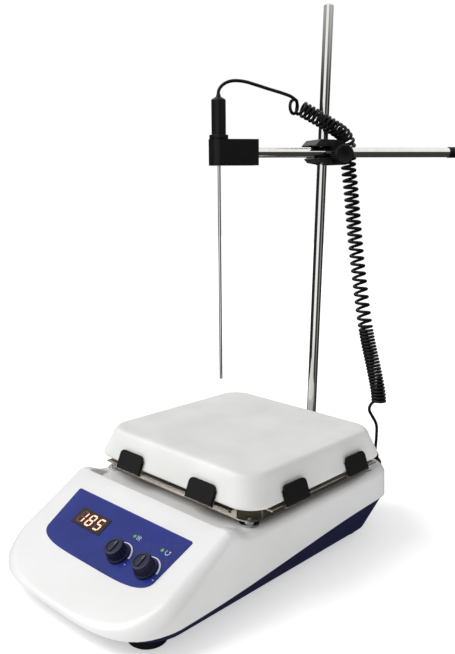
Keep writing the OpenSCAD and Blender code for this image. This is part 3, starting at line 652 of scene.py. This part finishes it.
def housing_grid():
    """Outer and inner skins as grids of points, with their edges down on the seam."""
    y = stations[:, None] + 0 * columns[None, :]
    x = outline_x(stations)[:, None] * columns[None, :]
    z = shell_z(x, y)
    rim = np.zeros(z.shape, bool)
    rim[[0, -1], :] = rim[:, [0, -1]] = True
    z = np.where(rim, seam_z(y), z)
    outer = np.stack([x, y, z], -1)
    drop = np.where(rim, 0, WALL * smooth((z - seam_z(y)) / 6))
    inner = np.stack([x * (1 - WALL / HALF_W), y * (1 - WALL / HALF_D), z - drop], -1)
    return outer, inner


def housing_part():
    """Points and faces of the shell's outer and inner skins, joined round the seam."""
    outer, inner = housing_grid()
    nj, ni = outer.shape[:2]
    count = nj * ni
    faces = []
    for j in range(nj - 1):
        for i in range(ni - 1):
            a = j * ni + i
            faces.append((a, a + 1, a + ni + 1, a + ni))
            faces.append(tuple(v + count for v in (a, a + ni, a + ni + 1, a + 1)))
    edge = (
        list(range(ni - 1)) + [j * ni + ni - 1 for j in range(nj - 1)]
        + [(nj - 1) * ni + i for i in range(ni - 1, 0, -1)] + [j * ni for j in range(nj - 1, 0, -1)]
    )
    for a, b in zip(edge, edge[1:] + edge[:1]):
        faces.append((a, a + count, b + count, b))
    return np.concatenate([outer.reshape(-1, 3), inner.reshape(-1, 3)]), faces


REAR_FACE, REAR_Z, INLET_X, SWITCH_X, SOCKET_X = HALF_D - 0.1, 51.0, -32.0, 34.0, 64.0
INLET_HOLE, SWITCH_HOLE, SOCKET_HOLE_R = (14.2, 10.2), (9.8, 6.8), 6.2
KNOB_X, KNOB_Y, LED_Y = (21.3, 55.3), -10.0, 10.0
SCREEN_X, SCREEN_Y, SCREEN_W, SCREEN_H = -31.8, 4.2, 39.6, 17.0
POST, PLATE_HOLE_R, ROD_HOLE_R, POST_HOLE_R = 87.5, 50, 10.1, 2.2
KNOB_HOLE_R, LED_HOLE_R = 4.1, 1.7
SHELF_CUT, REAR_CUT = (SHELF_Z - 8, SHELF_Z + 12), (HALF_D - 15, HALF_D + 5)
SCREEN_SLACK, LABEL_SLACK = 0.6, 0.2


def disc(radius, low, high, segments=48):
    return lathe([(radius, low), (radius, high)], segments)


def rear_disc(radius, low, high):
    p, f = disc(radius, low, high)
    return np.column_stack([p[:, 0], p[:, 2], -p[:, 1]]), f


def panel_cut(slack):
    """The openings for the display, the dials and the lenses, with slack round the display."""
    half_w, half_h = SCREEN_W / 2 + slack, SCREEN_H / 2 + slack
    return merge(
        box_part(SCREEN_X - half_w, SCREEN_X + half_w, SCREEN_Y - half_h, SCREEN_Y + half_h, -10, 10),
        *(shifted(disc(KNOB_HOLE_R, -10, 10, 32), x, KNOB_Y) for x in KNOB_X),
        *(shifted(disc(LED_HOLE_R, -10, 10, 24), x, LED_Y) for x in KNOB_X),
    )


def rear_box(x, half_w, half_h):
    return box_part(x - half_w, x + half_w, *REAR_CUT, REAR_Z - half_h, REAR_Z + half_h)


upper = piece("upper_shell", housing_part(), BODY, "base", "housing_white", ["upper_housing"])
corners = [(sx, sy) for sx in (-1, 1) for sy in (-1, 1)]
shelf_holes = merge(
    shifted(disc(PLATE_HOLE_R, *SHELF_CUT, 96), 0, PLATE_Y),
    *(shifted(disc(POST_HOLE_R, *SHELF_CUT, 20), sx * POST, PLATE_Y + sy * POST) for sx, sy in corners),
    shifted(disc(ROD_HOLE_R, *SHELF_CUT), ROD_X, ROD_Y),
)
rear_holes = merge(
    rear_box(INLET_X, *INLET_HOLE),
    rear_box(SWITCH_X, *SWITCH_HOLE),
    shifted(rear_disc(SOCKET_HOLE_R, *REAR_CUT), SOCKET_X, 0, REAR_Z),
)
carve(upper, [(panel_cut(SCREEN_SLACK), PANEL), (shelf_holes, BODY), (rear_holes, BODY)])

# Flat pad on the rear wall round the fittings
pad_outline = rounded_square(1, 0.2, 0, 6)[:, :2] * [70, 11.5] + [6, 0]
pad_points, pad_faces = slab(pad_outline, -5, 0, 0.5)
pad_part = (pad_points[:, [0, 2, 1]], pad_faces)
rear_pad = piece("rear_pad", pad_part, BODY @ moved(0, REAR_FACE, REAR_Z), "base", "housing_white")
carve(rear_pad, [(rear_holes, BODY)])


def loop(inset, rear_inset, z=None):
    """Ring round the housing's outline, scaled in, at the seam or at a height."""
    sides = []
    for sign, y in ((1, stations), (-1, stations[::-1])):
        ky = 1 - np.where(y > 0, rear_inset, inset) / HALF_D
        height = seam_z(y) - 0.3 if z is None else np.full(len(y), float(z))
        sides.append(np.column_stack([sign * outline_x(y) * (1 - inset / HALF_W), y * ky, height]))
    return np.concatenate(sides)


UNDER_Z = 9.3  # underside of the lower shell
FOOT_X, FOOT_Y, FOOT_HOLE_R = (-71, 71), (-139, 122), 2.6
VENT_X, VENT_HALF_W, VENT_Y = range(-60, 61, 12), 2.5, (17, 63)
outer_rings = [loop(9, 32, UNDER_Z), loop(7.6, 30.6, UNDER_Z + 0.5), loop(7, 30, UNDER_Z + 1.6)]
rim_ring, inner_rim, inner_floor = loop(1.5, 1.5), loop(4.5, 4.5), loop(10, 33, UNDER_Z + WALL)
low_ring = outer_rings[-1]
outer_rings += [low_ring * (1 - t) + rim_ring * t for t in (0.2, 0.4, 0.6, 0.8, 0.96)]
outer_rings.append(rim_ring)
inner_rings = [inner_rim * (1 - t) + inner_floor * t for t in (0, 0.5, 1)]
lower = piece("lower_shell", skin(outer_rings + inner_rings), BODY, "base", "housing_navy", ["lower_housing"])
vents = merge(*(
    box_part(x - VENT_HALF_W, x + VENT_HALF_W, *VENT_Y, UNDER_Z - 5, UNDER_Z + 10) for x in VENT_X
))
foot_holes = merge(*(
    shifted(disc(FOOT_HOLE_R, UNDER_Z - 5, UNDER_Z + 20, 24), x, y) for x in FOOT_X for y in FOOT_Y
))
carve(lower, [(vents, BODY), (foot_holes, BODY)])

# ---------- control panel ----------

# The label has small corners at its top and a lower edge that follows the nose
LABEL_TOP, LABEL_HALF_W, LABEL_LOW_Y, LABEL_FALL = 27.7, 71, -14, 15.7
edge_line = [(73, LABEL_TOP), (74.2, LABEL_TOP - 0.3), (74.8, LABEL_TOP - 1), (75, LABEL_TOP - 2.2)] + [
    (LABEL_HALF_W * cos(radians(a)) ** 0.45, LABEL_LOW_Y - LABEL_FALL * sin(radians(a)) ** 0.85)
    for a in np.arange(0, 91, 3)
]
label_outline = edge_line + [(-x, y) for x, y in edge_line[-2::-1]]
label = piece("label", slab(label_outline, 0.05, 0.55, 0.1), PANEL, "base", "label_blue", ["control_label"])
carve(label, [(panel_cut(LABEL_SLACK), PANEL)])

PRINT_LOW, PRINT_HIGH = 0.54, 0.62


def stroke(points, widths):
    """A printed line along points, with a width at each."""
    p = np.asarray(points, float)
    d = np.gradient(p, axis=0)
    d /= np.linalg.norm(d, axis=1)[:, None]
    side = np.column_stack([-d[:, 1], d[:, 0]]) * (np.asarray(widths, float)[:, None] / 2)
    return slab(np.concatenate([p + side, (p - side)[::-1]]), PRINT_LOW, PRINT_HIGH)


def arc_points(x, y, r, start, stop, count=28):
    a = np.radians(np.linspace(start, stop, count))
    return np.column_stack([x + r * np.cos(a), y + r * np.sin(a)])


marks = []
for x in KNOB_X:
    # A scale that widens with the setting, and a short line at each of its ends
    marks.append(stroke(arc_points(x, KNOB_Y, 11.8, 118, 2), np.linspace(0.5, 1.9, 28)))
    for a in (186, -22):
        start = arc_points(x, KNOB_Y, 13.2, a, a, 1)
        marks.append(stroke(np.concatenate([start, start + [1.4, 0]]), [0.5, 0.5]))
# Simple signs by the lenses: rising heat, and a turning arrow
heat_x, stir_x = KNOB_X[0] + 5.2, KNOB_X[1] + 6.4
wave = np.linspace(-2.1, 2.1, 14)
for k in (-1.6, 0, 1.6):
    rising = np.column_stack([heat_x + k + 0.45 * np.sin(wave * 2.4), LED_Y + wave])
    marks.append(stroke(rising, np.full(14, 0.42)))
marks.append(stroke(arc_points(stir_x, LED_Y, 2.2, 130, 400), np.full(28, 0.45)))
arrow = [(stir_x + 0.7, LED_Y + 1.5), (stir_x + 2.7, LED_Y + 1.9), (stir_x + 2.2, LED_Y - 0.1)]
marks.append(slab(arrow, PRINT_LOW, PRINT_HIGH))
piece("panel_marks", merge(*marks), PANEL, "base", "label_blue", looks=PRINT_WHITE)

# Seven-segment digits under the display's front
SEGMENTS = {
    "a": ((0, 2), (1, 2)), "b": ((1, 2), (1, 1)), "c": ((1, 1), (1, 0)), "d": ((0, 0), (1, 0)),
    "e": ((0, 1), (0, 0)), "f": ((0, 2), (0, 1)), "g": ((0, 1), (1, 1)),
}
LIT = ("bc", "abcdefg", "acdfg")
DIGIT_W, DIGIT_H, DIGIT_GAP, BAR, SLANT, BAR_GAP = 6.2, 5.4, 11.6, 1.45, 0.14, 0.25
DIGIT_LOW, LIT_HIGH, UNLIT_HIGH = 0.95, 1.06, 1.03


def segment(start, stop, x, y, low, high):
    """One pointed bar of a digit, leaning with it."""
    a = np.array([start[0] * DIGIT_W, start[1] * DIGIT_H])
    b = np.array([stop[0] * DIGIT_W, stop[1] * DIGIT_H])
    d = (b - a) / np.linalg.norm(b - a)
    n = np.array([-d[1], d[0]]) * BAR / 2
    a, b = a + d * BAR_GAP, b - d * BAR_GAP
    near, far = a + d * BAR / 2, b - d * BAR / 2
    outline = np.array([a, near + n, far + n, b, far - n, near - n])
    outline[:, 0] += (outline[:, 1] - DIGIT_H) * SLANT
    return slab(outline + [x, y], low, high)


lit, unlit = [], []
for k, on in enumerate(LIT):
    x, y = SCREEN_X + (k - 1) * DIGIT_GAP - DIGIT_W / 2, SCREEN_Y - DIGIT_H
    for key, (start, stop) in SEGMENTS.items():
        group, high = (lit, LIT_HIGH) if key in on else (unlit, UNLIT_HIGH)
        group.append(segment(start, stop, x, y, DIGIT_LOW, high))
piece("digits_lit", merge(*lit), PANEL, "base", "display_red", looks=DIGIT_LIT)
piece("digits_unlit", merge(*unlit), PANEL, "base", "display_red", looks=DIGIT_DARK)

KNOB_PROFILE = [
    (0, 1.0), (9.4, 1.0), (9.9, 1.3), (9.9, 2.3), (9.5, 2.7), (9.0, 2.9), (8.95, 4), (8.8, 6), (8.65, 8),
    (8.5, 10), (8.4, 10.9), (8.0, 11.6), (7.2, 11.9), (6.3, 11.9), (5.9, 11.6), (5.7, 11.1), (0, 11.1),
]
KNOB_SEGMENTS, KNOB_FLUTES, KNOB_FLUTE_DEPTH, KNOB_FLUTED = 120, 20, 0.55, (2.95, 11.0)
for name, x, body in (("heat_knob", KNOB_X[0], "heat_dial"), ("stir_knob", KNOB_X[1], "stir_dial")):
    turned_part = lathe(KNOB_PROFILE, KNOB_SEGMENTS, KNOB_FLUTES, KNOB_FLUTE_DEPTH, KNOB_FLUTED)
    grip = slab(rounded_square(1, 0.4, 0, 5)[:, :2] * [1.5, 5.2], 10.9, 12.0, 0.3)
    stem = disc(3, -9.6, 1.2, 32)
    knob = shifted(merge(turned_part, grip, stem), x, KNOB_Y)
    piece(name + "_grip", knob, PANEL, body, "knob_navy", [name], sharp=40)
    pointer = slab([(-0.35, 1.4), (0.35, 1.4), (0.35, 5.0), (-0.35, 5.0)], 11.98, 12.06)
    piece(name + "_mark", shifted(pointer, x, KNOB_Y), PANEL, body, "knob_navy", looks=POINTER)

# ---------- hot plate ----------

h, f = PLATE_W / 2, PLATE_FLAT / 2
# Half width, corner radius and height, from under the plate round its skirt to its face
plate_profile = [
    (f - 1, 20, PLATE_TOP - 5), (h - 3.4, 20.6, SKIRT_Z + 0.8), (h - 2.6, 21.6, SKIRT_Z + 0.1),
    (h - 1, 23, SKIRT_Z), (h - 0.3, 23.8, SKIRT_Z + 0.3), (h, 24, SKIRT_Z + 1.0),
    (h - 0.1, 24, SKIRT_Z + 2.2), (h - 0.7, 24, SKIRT_Z + 4), (f + 4.9, 23.2, PLATE_TOP - 7.5),
    (f + 4.1, 23, PLATE_TOP - 5.2), (f + 3.3, 22.6, PLATE_TOP - 3.4), (f + 2.3, 22, PLATE_TOP - 1.9),
    (f + 1.1, 21.3, PLATE_TOP - 0.8), (f - 0.4, 20.4, PLATE_TOP - 0.2), (f - 2, 19.5, PLATE_TOP),
    (f - 6, 17, PLATE_TOP),
]
plate_rings = [rounded_square(half, r, z, 14) for half, r, z in plate_profile]
piece("plate", skin(plate_rings), BODY @ moved(0, PLATE_Y, 0), "base", "plate_white", ["hot_plate"], sharp=60)

# ---------- clamp screws ----------


SCREW_REACH = 5.4
ARM_SCREW = moved(7, -ARM_OFFSET - SCREW_REACH, -2.5) @ turned(90, "X")
ROD_SCREW = moved(0, SCREW_REACH, 0) @ turned(-90, "X")


def thumb_screw(shank):
    """Ribbed thumb knob on a round shank of a length."""
    ribs = [(10, shank + z) for z in (0.6, 3, 6, 9, 10.8)]
    face = [(9.6, 11.4), (8.8, 11.9), (8, 12.0), (7.4, 11.6), (0, 11.5)]
    profile = [(0, 0), (2.6, 0), (3, 0.5), (3, shank), (9.2, shank), (9.8, shank + 0.2)] + ribs
    profile += [(r, shank + z) for r, z in face]
    return lathe(profile, 144, 36, 0.45, (shank + 0.5, shank + 10.9))


for name, shank, place, body, node in (
    ("arm_clamp_knob", 9, ARM_SCREW, "arm_screw", "arm_clamp_screw"),
    ("rod_clamp_knob", 7.6, ROD_SCREW, "rod_screw", "rod_clamp_screw"),
):
    piece(name, thumb_screw(shank), BOSS @ place, body, "clamp_black", [node], sharp=40)

# ---------- carried-over CAD pieces with softened edges ----------

for name, width in (
    ("edge_pads", 0.5), ("plate_tray", 0.22), ("boss_head", 0.9), ("probe_holder", 0.8),
    ("probe_collar", 0.4), ("probe_handle", 0.3), ("cross_rod_cap", 0.6), ("rod_socket", 0.5),
    ("power_inlet", 0.5), ("power_switch", 0.4), ("power_rocker", 0.4), ("sensor_plug", 0.5),
    ("sensor_socket", 0.3), ("motor_bracket", 0.3), ("display_window", 0.25), ("feet", 0.4),
    ("standoffs", 0.2), ("standoff_washers", 0.3), ("magnet_carrier", 0.4), ("motor", 0.8),
):
    soften(name, width)

# ---------- stage ----------

KEY_ENERGY, KEY_ANGLE, KEY_TOWARDS = 1.85, 38, (0.5, 0.5, -0.72)
# What the camera's own rays, the soft light and downward reflections get from the world
WHITE, AMBIENT, FLOOR_MIRRORED = (1, 1, 1, 1), (0.4, 0.402, 0.405, 1), (0.05, 0.048, 0.045, 1)

lamp = bpy.data.lights.new("key", "SUN")
lamp.energy, lamp.angle, lamp.color = KEY_ENERGY, radians(KEY_ANGLE), (1, 1, 1)
key = bpy.data.objects.new("key", lamp)
bpy.context.scene.collection.objects.link(key)
key.rotation_mode = "QUATERNION"
key.rotation_quaternion = Vector(KEY_TOWARDS).to_track_quat("-Z", "Y")

world = bpy.data.worlds.new("studio")
bpy.context.scene.world = world
world.use_nodes = True
wn, wl = world.node_tree.nodes, world.node_tree.links
background = wn["Background"]


def ramp(value, low, high, stops):
    """Brightness by a value, with the stops given in the value's own units."""
    n = wn.new("ShaderNodeMapRange")
    n.inputs["From Min"].default_value, n.inputs["From Max"].default_value = low, high
    wl.new(value, n.inputs["Value"])
    r = wn.new("ShaderNodeValToRGB")
    while len(r.color_ramp.elements) < len(stops):
        r.color_ramp.elements.new(0.5)
    for element, (where, level) in zip(r.color_ramp.elements, stops):
        element.position = (where - low) / (high - low)
        element.color = (level, level, level, 1)
    wl.new(n.outputs["Result"], r.inputs["Fac"])
    return r.outputs["Color"]


def mixed(factor, a, b):
    n = wn.new("ShaderNodeMix")
    n.data_type = "RGBA"
    wl.new(factor, n.inputs["Factor"])
    for socket, value in ((n.inputs["A"], a), (n.inputs["B"], b)):
        if isinstance(value, tuple):
            socket.default_value = value
        else:
            wl.new(value, socket)
    return n.outputs["Result"]


outwards = wn.new("ShaderNodeTexCoord")
parts = wn.new("ShaderNodeSeparateXYZ")
wl.new(outwards.outputs["Generated"], parts.inputs["Vector"])
bearing = wn.new("ShaderNodeMath")
bearing.operation = "ARCTAN2"
wl.new(parts.outputs["Y"], bearing.inputs[0])
wl.new(parts.outputs["X"], bearing.inputs[1])
# Reflections: a white screen left of the view, dark cloth to its right and behind, and white overhead
WALL_BANDS = (
    (-180, 0.02), (-103, 0.02), (-96, 1), (-48, 1), (-40, 0.03),
    (-2, 0.05), (8, 0.3), (22, 0.3), (30, 0.02), (180, 0.02),
)
walls = ramp(bearing.outputs["Value"], -pi, pi, [(radians(a), v) for a, v in WALL_BANDS])
overhead = ramp(parts.outputs["Z"], -1, 1, [(-1, 0), (0.12, 0), (0.34, 1), (1, 1)])
below = ramp(parts.outputs["Z"], -1, 1, [(-1, 1), (-0.34, 1), (-0.2, 0), (1, 0)])
studio = mixed(overhead, mixed(below, walls, FLOOR_MIRRORED), WHITE)
ray = wn.new("ShaderNodeLightPath")
seen = mixed(ray.outputs["Is Glossy Ray"], AMBIENT, studio)
seen = mixed(ray.outputs["Is Camera Ray"], seen, WHITE)
wl.new(seen, background.inputs["Color"])
background.inputs["Strength"].default_value = 1.0

FLOOR_REACH, FLOOR_LINES, FLOOR_Z = 3, 13, -0.0003  # metres, and just below the feet
floor_grid = np.linspace(-FLOOR_REACH, FLOOR_REACH, FLOOR_LINES)
floor_points = [(x, y, FLOOR_Z) for y in floor_grid for x in floor_grid]
floor_starts = [j * FLOOR_LINES + i for j in range(FLOOR_LINES - 1) for i in range(FLOOR_LINES - 1)]
floor_faces = [(a, a + 1, a + 1 + FLOOR_LINES, a + FLOOR_LINES) for a in floor_starts]
floor_look = material(
    "floor", "f7f7f6", "f4f4f3", (0.6, 0.8), bump=0.02, grain=300, blotch=3, wear=0, glow=("ffffff", 0.5)
)
floor = mesh_object("floor", floor_points, floor_faces, Matrix.Identity(4), 30, floor_look)
floor.visible_glossy = False
bpy.context.scene.view_settings.view_transform = "Standard"
